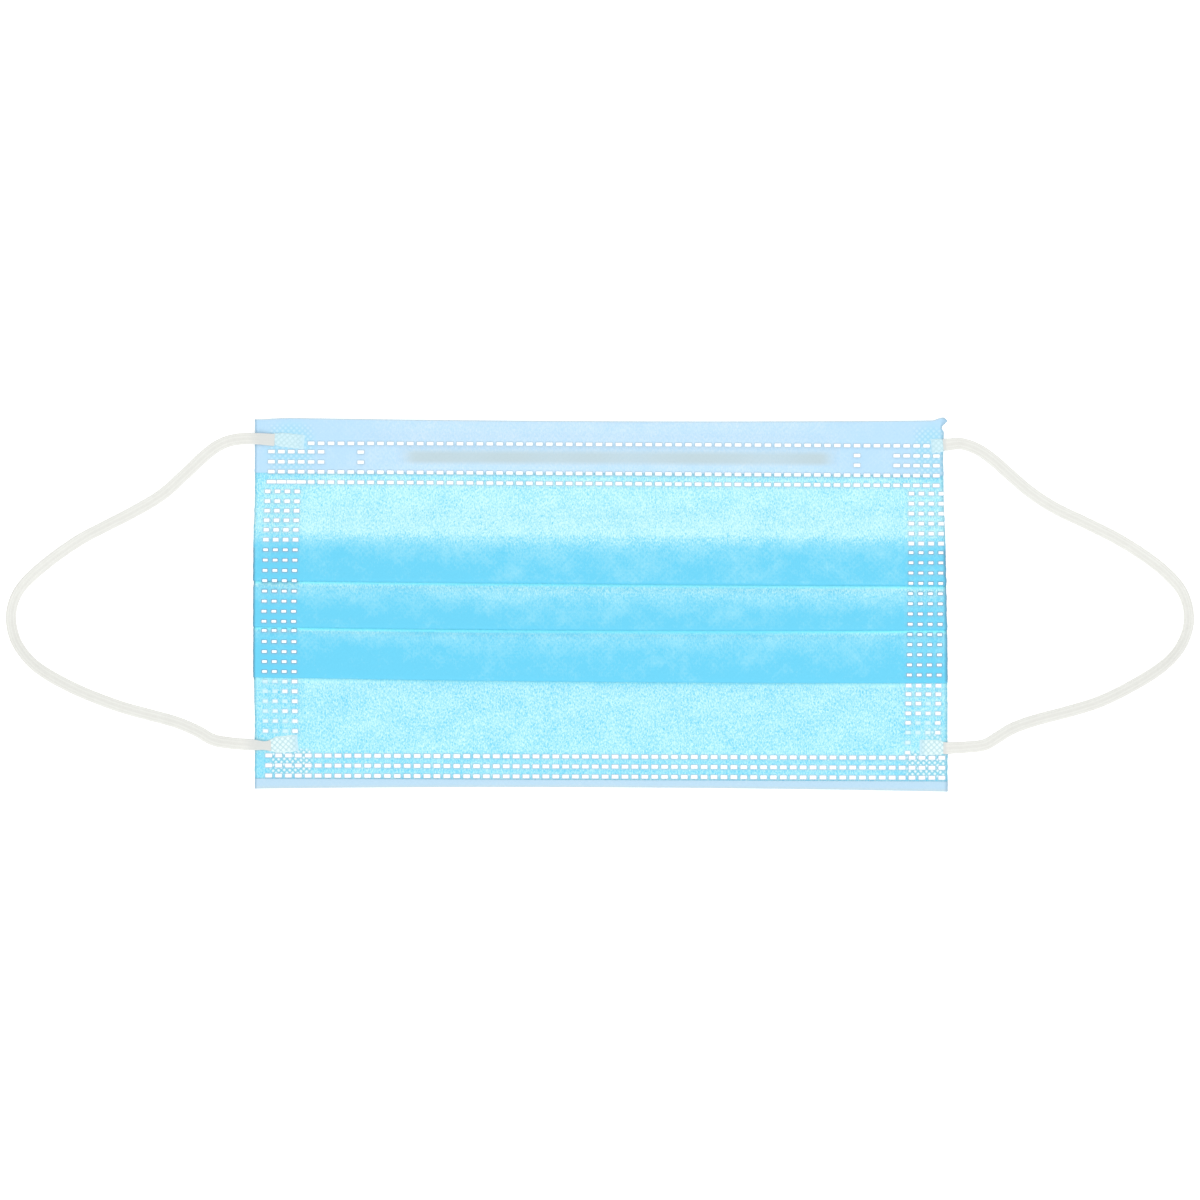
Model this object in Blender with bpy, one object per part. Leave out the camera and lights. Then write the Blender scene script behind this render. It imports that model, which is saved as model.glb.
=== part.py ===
# Disposable pleated face mask, lying flat with its blue front up and its ear loops spread out.
# Metres, +Z up. +X runs along the nose edge and +Y from the chin edge to the nose edge.
# The origin lies under the middle of the mask, on the surface that it rests on.

import math

import bpy
from mathutils import Matrix, Vector

# Folded mask
MASK_WIDTH = 0.175
MASK_HEIGHT = 0.094
CORNER_PULL = 0.00075
NOSE_EDGE_SAG = 0.0006
CHIN_EDGE_RISE = 0.0007

# Cloth: the bonded plies of the body are one wall, and a hem is another
PANEL_WALL = 0.0010
HEM_WALL = 0.0010
SEAT_GAP = 0.0003

# Pleats
FIRST_FOLD = 0.0419
PLEAT_DEPTH = 0.0117
FOLD_STEP = 0.0014
FOLD_SAG = 0.0007
FOLD_GAP = 0.0002
FOLD_PUFF = 0.00025
RISE_RUN = 0.0040
TURN_SEGMENTS = 6
RISE_SEGMENTS = 5

# Hems
TOP_HEM_DEPTH = 0.0137
BOTTOM_HEM_DEPTH = 0.0025
HEM_TURN = 0.0008
HEM_TURN_SEGMENTS = 4

# Nose wire, closed in under the top hem and set from its free edge
WIRE_LENGTH = 0.108
WIRE_WIDTH = 0.0030
WIRE_THICKNESS = 0.0006
WIRE_OFFSET = 0.0043
WIRE_BEVEL = 0.00012
HUMP_RUN = 0.0014
HUMP_MARGIN = 0.0001

# Ear loops and the crushed ends that are welded to the front
LOOP_DIAMETER = 0.0030
LOOP_POINT_SPACING = 0.0062
ROUTE_STEPS = 12
LOOP_RESOLUTION = 2
WELD_LENGTH = 0.0076
WELD_WIDTH = 0.0042
WELD_THICKNESS = 0.0008
WELD_SHOULDER_HEIGHT = 0.55
WELD_TOP_WIDTH = 0.7
WELD_INSET = 0.0046
UPPER_WELD_DROP = 0.0061
LOWER_WELD_RISE = 0.0113

# One row for each pleat, from the nose edge down:
# step: how far its hidden fold lies below the fold before, as a share of FOLD_STEP
# depth: how far its layers overlap, as a share of PLEAT_DEPTH
# lean: how many layers the panel below has climbed where this pleat's front fold lies on it
# sag: how far the middle of its front fold hangs down, as a share of FOLD_SAG
PLEATS = (
    {"step": 0.0, "depth": 1.00, "lean": 0.80, "sag": 0.30},
    {"step": 1.0, "depth": 0.86, "lean": 0.80, "sag": 1.00},
    {"step": 0.8, "depth": 1.00, "lean": 0.12, "sag": 0.45},
)

# Sections across half of the width:
# at: share of the half width, puff: how far the layers part there, as a share of FOLD_PUFF
WIDTH_SECTIONS = (
    {"at": 0.00, "puff": 1.00},
    {"at": 0.30, "puff": 0.95},
    {"at": 0.55, "puff": 0.80},
    {"at": 0.74, "puff": 0.45},
    {"at": 0.87, "puff": 0.05},
    {"at": 1.00, "puff": 0.00},
)

# The welded loop ends:
# side: -1 left, 1 right; length, inset, width: shares of the sizes above; turn: rise to the inner end
# as a share of the width
WELDS = (
    {"name": "loop_weld_upper_left", "side": -1, "upper": True, "length": 1.00, "inset": 1.00,
     "width": 1.00, "turn": -0.14},
    {"name": "loop_weld_lower_left", "side": -1, "upper": False, "length": 0.87, "inset": 1.00,
     "width": 1.08, "turn": 0.12},
    {"name": "loop_weld_upper_right", "side": 1, "upper": True, "length": 0.60, "inset": 0.10,
     "width": 0.95, "turn": -0.05},
    {"name": "loop_weld_lower_right", "side": 1, "upper": False, "length": 0.88, "inset": 0.10,
     "width": 1.02, "turn": 0.12},
)

# Sections along a weld, from the loop inwards:
# at: share of its length, loop: how much of the loop's round height is left,
# spread: how far its width has gone from the loop's to the weld's
WELD_SECTIONS = (
    {"at": 0.00, "loop": 1.00, "spread": 0.0},
    {"at": 0.22, "loop": 0.40, "spread": 0.3},
    {"at": 0.45, "loop": 0.00, "spread": 0.9},
    {"at": 1.00, "loop": 0.00, "spread": 1.0},
)

# Routes of the loops, chosen by hand: x, y and the height of the loop's underside
LEFT_LOOP_ROUTE = (
    (-0.0832, 0.0411, 0.0026),
    (-0.0877, 0.0415, 0.0026),
    (-0.0925, 0.0414, 0.0014),
    (-0.0963, 0.0402, 0.0004),
    (-0.0999, 0.0377, 0.0),
    (-0.1052, 0.0327, 0.0),
    (-0.1112, 0.0273, 0.0),
    (-0.1181, 0.0231, 0.0),
    (-0.1258, 0.0191, 0.0),
    (-0.1319, 0.0158, 0.0),
    (-0.1385, 0.0112, 0.0),
    (-0.1446, 0.0060, 0.0),
    (-0.1480, 0.0014, 0.0),
    (-0.1492, -0.0040, 0.0),
    (-0.1480, -0.0097, 0.0),
    (-0.1447, -0.0145, 0.0),
    (-0.1404, -0.0180, 0.0),
    (-0.1340, -0.0215, 0.0),
    (-0.1272, -0.0244, 0.0),
    (-0.1203, -0.0268, 0.0),
    (-0.1135, -0.0286, 0.0),
    (-0.1070, -0.0304, 0.0),
    (-0.1018, -0.0326, 0.0),
    (-0.0980, -0.0347, 0.0),
    (-0.0936, -0.0355, 0.0002),
    (-0.0880, -0.0357, 0.0013),
    (-0.0832, -0.0358, 0.0013),
)
RIGHT_LOOP_ROUTE = (
    (0.0873, 0.0410, 0.0026),
    (0.0912, 0.0411, 0.0020),
    (0.0954, 0.0397, 0.0008),
    (0.0995, 0.0369, 0.0),
    (0.1038, 0.0331, 0.0),
    (0.1088, 0.0289, 0.0),
    (0.1150, 0.0249, 0.0),
    (0.1230, 0.0211, 0.0),
    (0.1308, 0.0172, 0.0),
    (0.1376, 0.0130, 0.0),
    (0.1430, 0.0088, 0.0),
    (0.1471, 0.0041, 0.0),
    (0.1489, -0.0015, 0.0),
    (0.1484, -0.0066, 0.0),
    (0.1459, -0.0115, 0.0),
    (0.1412, -0.0160, 0.0),
    (0.1337, -0.0206, 0.0),
    (0.1265, -0.0241, 0.0),
    (0.1190, -0.0265, 0.0),
    (0.1104, -0.0288, 0.0),
    (0.1046, -0.0309, 0.0),
    (0.1008, -0.0332, 0.0),
    (0.0975, -0.0351, 0.0),
    (0.0930, -0.0356, 0.0004),
    (0.0873, -0.0358, 0.0013),
)

# Colours and roughness
FRONT_BLUE = (0.26, 0.76, 0.97, 1.0)
HEM_PALE = (0.55, 0.82, 0.98, 1.0)
WIRE_GREY = (0.55, 0.58, 0.66, 1.0)
LOOP_WHITE = (0.82, 0.81, 0.78, 1.0)
WELD_PALE = (0.62, 0.86, 0.92, 1.0)
CLOTH_ROUGHNESS = 0.85
WIRE_ROUGHNESS = 0.5
LOOP_ROUGHNESS = 0.9
WELD_ROUGHNESS = 0.4


def clear_scene():
    for item in list(bpy.data.objects):
        bpy.data.objects.remove(item, do_unlink=True)


def make_material(name, colour, roughness, metallic=0.0):
    material = bpy.data.materials.new(name)
    material.use_nodes = True
    shader = material.node_tree.nodes["Principled BSDF"]
    shader.inputs["Base Color"].default_value = colour
    shader.inputs["Roughness"].default_value = roughness
    shader.inputs["Metallic"].default_value = metallic
    return material


def add_mesh(name, points, faces, material):
    mesh = bpy.data.meshes.new(name)
    mesh.from_pydata(points, [], faces)
    mesh.update()
    mesh.materials.append(material)
    piece = bpy.data.objects.new(name, mesh)
    bpy.context.collection.objects.link(piece)
    return piece


def ease(share):
    """A climb from 0 to 1 that starts and ends gently, half way between a straight one and an S."""
    return (share + share * share * (3.0 - 2.0 * share)) / 2


# Outline of the mask, seen from the front

def bow(share):
    return 1.0 - share * share


def nose_edge(share):
    return MASK_HEIGHT / 2 - NOSE_EDGE_SAG * bow(share)


def chin_edge(share):
    return -MASK_HEIGHT / 2 + CHIN_EDGE_RISE * bow(share)


def half_width(y):
    towards_nose = max(0.0, y / (MASK_HEIGHT / 2))
    return MASK_WIDTH / 2 - CORNER_PULL * towards_nose ** 2


def full_sections():
    left = [{"at": -row["at"], "puff": row["puff"]} for row in reversed(WIDTH_SECTIONS[1:])]
    return left + list(WIDTH_SECTIONS)


# Places of the folds, from the nose edge down, at one section of the width

def fold_places(share):
    places = []
    edge = MASK_HEIGHT / 2 - FIRST_FOLD
    for row in PLEATS:
        depth = PLEAT_DEPTH * row["depth"]
        if places:
            edge = edge - FOLD_STEP * row["step"] - depth
        sag = FOLD_SAG * row["sag"] * bow(share)
        places.append({"front": edge - sag, "hidden": edge + depth - sag, "lean": row["lean"]})
    return places


def panel_path(share, puff):
    """The middle of the wall at one section, as (y, z) from the nose edge to the chin edge."""
    pitch = PANEL_WALL + FOLD_GAP + FOLD_PUFF * puff
    outer_turn = (PANEL_WALL + pitch) / 2
    path = []

    def add(y, layer):
        path.append((y, PANEL_WALL / 2 + pitch * layer))

    def climb(y_from, y_to, layer_from, layer_to):
        for step in range(RISE_SEGMENTS + 1):
            part = step / RISE_SEGMENTS
            add(y_from + (y_to - y_from) * part, layer_from + (layer_to - layer_from) * ease(part))

    def turn(centre, upper_layer, way):
        for step in range(TURN_SEGMENTS + 1):
            angle = math.pi * step / TURN_SEGMENTS
            add(centre + way * pitch / 2 * math.sin(angle), upper_layer - 0.5 + math.cos(angle) / 2)

    add(nose_edge(share) - HEM_WALL - SEAT_GAP, 0.0)
    climb_from = None
    for place in fold_places(share):
        hidden_centre = place["hidden"] - outer_turn
        front_centre = place["front"] + outer_turn
        if climb_from is None:
            climb(place["hidden"] - outer_turn + RISE_RUN, hidden_centre, 0.0, 2.0)
        else:
            climb(climb_from["y"], hidden_centre, climb_from["layer"], 2.0)
        turn(front_centre, 2.0 + place["lean"], -1)
        turn(hidden_centre, 1.0, 1)
        climb_from = {"y": front_centre, "layer": place["lean"]}
    add(chin_edge(share) + HEM_WALL + SEAT_GAP, 0.0)
    return path


def sheet_from_paths(name, shares, paths, wall, material):
    """A wall of cloth whose middle runs through one path at each section of the width."""
    count = len(paths[0])
    points = []
    for share, path in zip(shares, paths):
        for y, z in path:
            points.append((share * half_width(y), y, z))
    faces = []
    for section in range(len(paths) - 1):
        for step in range(count - 1):
            here = section * count + step
            faces.append((here, here + 1, here + count + 1, here + count))
    sheet = add_mesh(name, points, faces, material)
    solidify = sheet.modifiers.new("wall", "SOLIDIFY")
    solidify.thickness = wall
    solidify.offset = 0.0
    solidify.use_even_offset = True
    solidify.use_rim = True
    return sheet


def make_pleated_panel(material):
    sections = full_sections()
    shares = [row["at"] for row in sections]
    paths = [panel_path(row["at"], row["puff"]) for row in sections]
    return sheet_from_paths("pleated_panel", shares, paths, PANEL_WALL, material)


# Hems: the inner ply goes round the edge of the body and lies on its front

def hem_path(edge, inwards, depth, hump=None):
    """Middle of a hem's wall from its foot on the surface, round the edge, to its free edge."""
    level = PANEL_WALL + SEAT_GAP + HEM_WALL / 2
    foot = edge + inwards * HEM_WALL / 2
    path = [(foot, 0.0)]
    for step in range(HEM_TURN_SEGMENTS + 1):
        angle = math.pi / 2 * step / HEM_TURN_SEGMENTS
        y = foot + inwards * HEM_TURN * (1.0 - math.cos(angle))
        path.append((y, level - HEM_TURN * (1.0 - math.sin(angle))))
    if hump:
        for y, share in hump["points"]:
            path.append((y, level + hump["lift"] * share))
    path.append((edge + inwards * depth, level))
    return path


def hump_half():
    """Half the depth of the hem's raised part, over the wire and the hem's own wall beside it."""
    return WIRE_WIDTH / 2 + SEAT_GAP + HEM_WALL / 2


def wire_place():
    free_edge = MASK_HEIGHT / 2 - TOP_HEM_DEPTH
    return free_edge + HUMP_MARGIN + HUMP_RUN + hump_half()


def wire_hump(lift_share):
    half = hump_half()
    middle = wire_place()
    points = [(middle + half + HUMP_RUN, 0.0), (middle + half, 1.0), (middle - half, 1.0),
              (middle - half - HUMP_RUN, 0.0)]
    return {"points": points, "lift": (WIRE_THICKNESS + SEAT_GAP) * lift_share}


def top_hem_sections():
    """Shares of the half width, with the share of the lift that the wire gives the hem there."""
    half = half_width(wire_place())
    full = WIRE_LENGTH / 2 + SEAT_GAP + HEM_WALL / 2
    sections = [(row["at"], 1.0 if abs(row["at"] * half - WIRE_OFFSET) < full else 0.0)
                for row in full_sections()]
    for way in (-1, 1):
        sections.append(((WIRE_OFFSET + way * full) / half, 1.0))
        sections.append(((WIRE_OFFSET + way * (full + HUMP_RUN)) / half, 0.0))
    return sorted(sections)


def make_top_hem(material):
    sections = top_hem_sections()
    shares = [share for share, lift in sections]
    paths = [hem_path(nose_edge(share), -1, TOP_HEM_DEPTH, wire_hump(lift)) for share, lift in sections]
    return sheet_from_paths("top_hem", shares, paths, HEM_WALL, material)


def make_bottom_hem(material):
    shares = [row["at"] for row in full_sections()]
    paths = [hem_path(chin_edge(share), 1, BOTTOM_HEM_DEPTH) for share in reversed(shares)]
    return sheet_from_paths("bottom_hem", list(reversed(shares)), paths, HEM_WALL, material)


def make_nose_wire(material):
    bpy.ops.mesh.primitive_cube_add(size=1.0)
    wire = bpy.context.active_object
    wire.name = "nose_wire"
    wire.data.name = "nose_wire"
    wire.data.transform(Matrix.Diagonal((WIRE_LENGTH, WIRE_WIDTH, WIRE_THICKNESS, 1.0)))
    wire.location = (WIRE_OFFSET, wire_place(), PANEL_WALL + SEAT_GAP + WIRE_THICKNESS / 2)
    bevel = wire.modifiers.new("rolled edges", "BEVEL")
    bevel.width = WIRE_BEVEL
    bevel.segments = 1
    wire.data.materials.append(material)
    return wire


# Welded loop ends

def make_weld(row, material):
    upper = row["upper"]
    floor = PANEL_WALL + SEAT_GAP
    if upper:
        floor += HEM_WALL + SEAT_GAP
    y_outer = MASK_HEIGHT / 2 - UPPER_WELD_DROP if upper else -MASK_HEIGHT / 2 + LOWER_WELD_RISE
    x_outer = row["side"] * (half_width(y_outer) - WELD_INSET * row["inset"])
    length = WELD_LENGTH * row["length"]
    shoulder, top = WELD_SHOULDER_HEIGHT, WELD_TOP_WIDTH
    outline = ((-1.0, 0.0), (1.0, 0.0), (1.0, shoulder), (top, 1.0), (-top, 1.0), (-1.0, shoulder))
    points = []
    for section in WELD_SECTIONS:
        x = x_outer - row["side"] * length * section["at"]
        y = y_outer + WELD_WIDTH * row["turn"] * section["at"]
        half = (LOOP_DIAMETER + (WELD_WIDTH * row["width"] - LOOP_DIAMETER) * section["spread"]) / 2
        height = WELD_THICKNESS + (LOOP_DIAMETER - WELD_THICKNESS) * section["loop"]
        for across, up in outline:
            points.append((x, y + half * across, floor + height * up))
    count = len(outline)
    faces = [tuple(reversed(range(count)))]
    for section in range(len(WELD_SECTIONS) - 1):
        for corner in range(count):
            here = section * count + corner
            there = section * count + (corner + 1) % count
            faces.append((here, there, there + count, here + count))
    last = (len(WELD_SECTIONS) - 1) * count
    faces.append(tuple(last + corner for corner in range(count)))
    if row["side"] > 0:
        faces = [tuple(reversed(face)) for face in faces]
    return add_mesh(row["name"], points, faces, material)


# Ear loops

def smooth_route(route, radius):
    """Evenly spaced points on a smooth curve through a route, at the middle of the loop."""
    knots = [Vector((x, y, under + radius)) for x, y, under in route]
    knots = [2 * knots[0] - knots[1]] + knots + [2 * knots[-1] - knots[-2]]
    fine = []
    for a, b, c, d in zip(knots, knots[1:], knots[2:], knots[3:]):
        for step in range(ROUTE_STEPS):
            t = step / ROUTE_STEPS
            fine.append(0.5 * (2 * b + (c - a) * t + (2 * a - 5 * b + 4 * c - d) * t ** 2
                               + (3 * b - a - 3 * c + d) * t ** 3))
    fine.append(knots[-2])
    lengths = [0.0]
    for here, there in zip(fine, fine[1:]):
        lengths.append(lengths[-1] + (there - here).length)
    count = round(lengths[-1] / LOOP_POINT_SPACING)
    points = []
    index = 0
    for step in range(count + 1):
        goal = lengths[-1] * step / count
        while index < len(fine) - 2 and lengths[index + 1] < goal:
            index += 1
        part = (goal - lengths[index]) / (lengths[index + 1] - lengths[index])
        point = fine[index].lerp(fine[index + 1], min(1.0, part))
        point.z = max(point.z, radius)
        points.append(point)
    return points


def make_ear_loop(name, route, material):
    points = smooth_route(route, LOOP_DIAMETER / 2)
    curve = bpy.data.curves.new(name, "CURVE")
    curve.dimensions = "3D"
    curve.bevel_depth = LOOP_DIAMETER / 2
    curve.bevel_resolution = LOOP_RESOLUTION
    curve.use_fill_caps = True
    spline = curve.splines.new("POLY")
    spline.points.add(len(points) - 1)
    for slot, point in zip(spline.points, points):
        slot.co = (point.x, point.y, point.z, 1.0)
    curve.materials.append(material)
    loop = bpy.data.objects.new(name, curve)
    bpy.context.collection.objects.link(loop)
    return loop


def make_mask():
    front = make_material("nonwoven_front", FRONT_BLUE, CLOTH_ROUGHNESS)
    hem = make_material("nonwoven_hem", HEM_PALE, CLOTH_ROUGHNESS)
    wire = make_material("wire_coating", WIRE_GREY, WIRE_ROUGHNESS)
    elastic = make_material("loop_elastic", LOOP_WHITE, LOOP_ROUGHNESS)
    welded = make_material("weld_film", WELD_PALE, WELD_ROUGHNESS)
    make_pleated_panel(front)
    make_top_hem(hem)
    make_bottom_hem(hem)
    make_nose_wire(wire)
    for row in WELDS:
        make_weld(row, welded)
    make_ear_loop("ear_loop_left", LEFT_LOOP_ROUTE, elastic)
    make_ear_loop("ear_loop_right", RIGHT_LOOP_ROUTE, elastic)


clear_scene()
make_mask()
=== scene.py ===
# Disposable pleated face mask, lying flat with its blue front up and its ear loops spread out.
# Metres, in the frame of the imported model: +X runs along the nose edge and +Y from chin to nose.

import math
import random

import bmesh
import bpy
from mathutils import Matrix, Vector, noise


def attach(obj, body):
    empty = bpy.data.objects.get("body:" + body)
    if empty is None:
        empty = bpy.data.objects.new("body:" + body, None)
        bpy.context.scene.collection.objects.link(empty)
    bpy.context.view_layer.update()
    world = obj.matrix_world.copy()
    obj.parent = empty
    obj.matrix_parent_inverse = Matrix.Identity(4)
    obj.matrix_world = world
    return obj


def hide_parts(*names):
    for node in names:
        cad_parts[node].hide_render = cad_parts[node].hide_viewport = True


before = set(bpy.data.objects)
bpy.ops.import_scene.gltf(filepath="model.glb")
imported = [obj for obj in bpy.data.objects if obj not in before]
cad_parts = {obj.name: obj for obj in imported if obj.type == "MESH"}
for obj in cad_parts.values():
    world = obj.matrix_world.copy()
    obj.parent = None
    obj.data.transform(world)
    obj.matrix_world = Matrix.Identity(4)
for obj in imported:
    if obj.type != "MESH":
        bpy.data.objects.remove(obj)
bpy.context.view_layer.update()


# Camera, lights and floor. The mask is looked at from straight above, on a plain white table
# with a faint glow of its own, under soft light from all round and a softbox on the chin side.

LENS = 100.0
SENSOR = 36.0
VIEW_WIDTH = 0.3042
VIEW_CENTRE = (-0.00013, 0.00114)
VIEW_ROLL = math.radians(0.25)
SKY_STRENGTH = 0.96
TABLE_GLOW = 0.25
TABLE_HALF = 2.0
TABLE_LEVEL = -0.0001
SOFTBOXES = (
    {"name": "softbox_chin", "at": (-0.12, -0.90, 0.95), "size": 0.9, "power": 4.6},
    {"name": "softbox_top", "at": (0.25, 0.35, 1.30), "size": 1.1, "power": 3.9},
)


def linear(red, green, blue):
    """Screen values from 0 to 255 as the linear colour that a shader wants."""
    values = []
    for value in (red, green, blue):
        share = value / 255
        values.append(share / 12.92 if share <= 0.04045 else ((share + 0.055) / 1.055) ** 2.4)
    return (*values, 1.0)


def make_finish(name, roughness, colour=(0.8, 0.8, 0.8, 1.0), **sockets):
    """A new material with its shader's own constant values set."""
    finish = bpy.data.materials.new(name)
    finish.use_nodes = True
    shader = finish.node_tree.nodes["Principled BSDF"]
    shader.inputs["Base Color"].default_value = colour
    shader.inputs["Roughness"].default_value = roughness
    for socket, value in sockets.items():
        shader.inputs[socket.replace("_", " ")].default_value = value
    return finish


def link_piece(name, data):
    piece = bpy.data.objects.new(name, data)
    bpy.context.scene.collection.objects.link(piece)
    return piece


camera_data = bpy.data.cameras.new("camera")
camera_data.lens = LENS
camera_data.sensor_width = SENSOR
camera_data.clip_start = 0.01
camera = link_piece("camera", camera_data)
camera.location = (*VIEW_CENTRE, LENS / SENSOR * VIEW_WIDTH)
camera.rotation_euler = (0.0, 0.0, VIEW_ROLL)
bpy.context.scene.camera = camera

for row in SOFTBOXES:
    lamp = bpy.data.lights.new(row["name"], "AREA")
    lamp.size = row["size"]
    lamp.energy = row["power"]
    softbox = link_piece(row["name"], lamp)
    softbox.location = row["at"]
    softbox.rotation_euler = (-Vector(row["at"])).to_track_quat("-Z", "Y").to_euler()

world = bpy.data.worlds.new("studio")
world.use_nodes = True
world.node_tree.nodes["Background"].inputs["Color"].default_value = (1.0, 1.0, 1.0, 1.0)
world.node_tree.nodes["Background"].inputs["Strength"].default_value = SKY_STRENGTH
bpy.context.scene.world = world
bpy.context.scene.view_settings.view_transform = "Standard"

floor_mesh = bpy.data.meshes.new("table_top")
corners = [(x * TABLE_HALF, y * TABLE_HALF, TABLE_LEVEL) for x, y in ((-1, -1), (1, -1), (1, 1), (-1, 1))]
floor_mesh.from_pydata(corners, [], [(0, 1, 2, 3)])
floor_mesh.materials.append(make_finish("white_table", 0.9, (0.97, 0.97, 0.97, 1.0),
                                        Emission_Color=(1.0, 1.0, 1.0, 1.0), Emission_Strength=TABLE_GLOW))
table_top = link_piece("table_top", floor_mesh)


# Ear loops: flat knitted elastic, 3 mm wide, of five ribs side by side. Each lies loose on the
# table, turned up on its outer edge where it bends back, and its ends are welded to the front.

LOOP_WIDTH = 0.0029
LOOP_THICKNESS = 0.00085
LOOP_RIBS = 5
LOOP_COURSE = 0.00056
STEPS_A_COURSE = 4
SPLINE_STEPS = 12
OUTLINE_POINTS = 36
OUTLINE_ROUNDING = (0.75, 0.42)
RIB_GROOVE = 0.17
STITCH_BULGE = 0.09
END_TAPER = 0.0048
END_THINNESS = 0.35
END_SPREAD = 0.10
SWAY_WAVES = 90
SWAY_TURN = math.radians(4.0)
SWAY_WIDTH = 0.02
LOOP_PATH_EVERY = 12
# Routes: x, y and the height of the loop's underside, in metres
LOOPS = (
    {"name": "ear_loop_left_elastic", "node": "ear_loop_left", "side": -1, "length": 0.162, "pinch": 0.25,
     "flat": 0.0030,
     "route": (
         (-0.0827, 0.0413, 0.00078), (-0.0842, 0.0414, 0.00080), (-0.0877, 0.0416, 0.00078),
         (-0.0925, 0.0414, 0.00035), (-0.0963, 0.0402, 0.00008), (-0.0999, 0.0377, 0.0),
         (-0.1052, 0.0327, 0.0), (-0.1112, 0.0273, 0.0), (-0.1181, 0.0231, 0.0),
         (-0.1258, 0.0191, 0.0), (-0.1319, 0.0158, 0.0), (-0.1385, 0.0112, 0.0),
         (-0.1446, 0.0060, 0.0), (-0.1480, 0.0014, 0.0), (-0.1492, -0.0040, 0.0),
         (-0.1480, -0.0097, 0.0), (-0.1447, -0.0145, 0.0), (-0.1404, -0.0180, 0.0),
         (-0.1340, -0.0215, 0.0), (-0.1272, -0.0244, 0.0), (-0.1203, -0.0268, 0.0),
         (-0.1135, -0.0286, 0.0), (-0.1070, -0.0304, 0.0), (-0.1018, -0.0326, 0.0),
         (-0.0980, -0.0347, 0.0), (-0.0936, -0.0355, 0.0002), (-0.0882, -0.0359, 0.00055),
         (-0.0848, -0.0361, 0.00058), (-0.0833, -0.0361, 0.00056),
     )},
    {"name": "ear_loop_right_elastic", "node": "ear_loop_right", "side": 1, "length": 0.153, "pinch": 0.03,
     "flat": 0.0004,
     "route": (
         (0.0866, 0.0408, 0.00078), (0.0880, 0.0409, 0.00080), (0.0912, 0.0411, 0.00062),
         (0.0954, 0.0397, 0.00022), (0.0995, 0.0369, 0.0), (0.1038, 0.0331, 0.0),
         (0.1088, 0.0289, 0.0), (0.1150, 0.0249, 0.0), (0.1230, 0.0211, 0.0),
         (0.1308, 0.0172, 0.0), (0.1376, 0.0130, 0.0), (0.1430, 0.0088, 0.0),
         (0.1471, 0.0041, 0.0), (0.1489, -0.0015, 0.0), (0.1484, -0.0066, 0.0),
         (0.1459, -0.0115, 0.0), (0.1412, -0.0160, 0.0), (0.1337, -0.0206, 0.0),
         (0.1265, -0.0241, 0.0), (0.1190, -0.0265, 0.0), (0.1104, -0.0288, 0.0),
         (0.1046, -0.0309, 0.0), (0.1008, -0.0332, 0.0), (0.0975, -0.0351, 0.0),
         (0.0930, -0.0357, 0.0002), (0.0884, -0.0360, 0.00052), (0.0870, -0.0360, 0.00056),
     )},
)
# How far a loop is turned up on its outer edge: share of its length, degrees
LOOP_TURN = ((0.0, 0.0), (0.07, 4.0), (0.16, 12.0), (0.30, 9.0), (0.42, 24.0), (0.50, 46.0),
             (0.57, 40.0), (0.66, 16.0), (0.78, 8.0), (0.88, 12.0), (0.94, 4.0), (1.0, 0.0))
ELASTIC_LIGHT = linear(219, 220, 215)
ELASTIC_SHADE_AND_YARN_TONE = linear(194, 193, 188)
ELASTIC_FLAT = linear(199, 202, 200)
PINCH_AT = 0.0018
PINCH_REACH = 0.0019


def smooth_step(low, high, value):
    share = min(1.0, max(0.0, (value - low) / (high - low)))
    return share * share * (3.0 - 2.0 * share)


def from_table(table, share):
    """A value between the rows of a table, with eased changes."""
    for (at, value), (next_at, next_value) in zip(table, table[1:]):
        if share <= next_at:
            return value + (next_value - value) * smooth_step(at, next_at, share)
    return table[-1][1]


def follow_route(route, spacing):
    """Evenly spaced points on a smooth curve through a route."""
    knots = [Vector(point) for point in route]
    knots = [2 * knots[0] - knots[1]] + knots + [2 * knots[-1] - knots[-2]]
    fine = []
    for a, b, c, d in zip(knots, knots[1:], knots[2:], knots[3:]):
        for step in range(SPLINE_STEPS):
            t = step / SPLINE_STEPS
            fine.append(0.5 * (2 * b + (c - a) * t + (2 * a - 5 * b + 4 * c - d) * t ** 2
                               + (3 * b - a - 3 * c + d) * t ** 3))
    fine.append(knots[-2])
    lengths = [0.0]
    for here, there in zip(fine, fine[1:]):
        lengths.append(lengths[-1] + (there - here).length)
    count = round(lengths[-1] / spacing)
    points = []
    index = 0
    for step in range(count + 1):
        goal = lengths[-1] * step / count
        while index < len(fine) - 2 and lengths[index + 1] < goal:
            index += 1
        part = (goal - lengths[index]) / (lengths[index + 1] - lengths[index])
        point = fine[index].lerp(fine[index + 1], min(1.0, part))
        point.z = max(0.0, point.z)
        points.append(point)
    return points


def add_values(mesh, name, values):
    """One number or one vector for each point of a mesh, for its material."""
    vectors = isinstance(values[0], (tuple, Vector))
    layer = mesh.attributes.new(name, "FLOAT_VECTOR" if vectors else "FLOAT", "POINT")
    if vectors:
        layer.data.foreach_set("vector", [number for value in values for number in value])
    else:
        layer.data.foreach_set("value", values)


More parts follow.
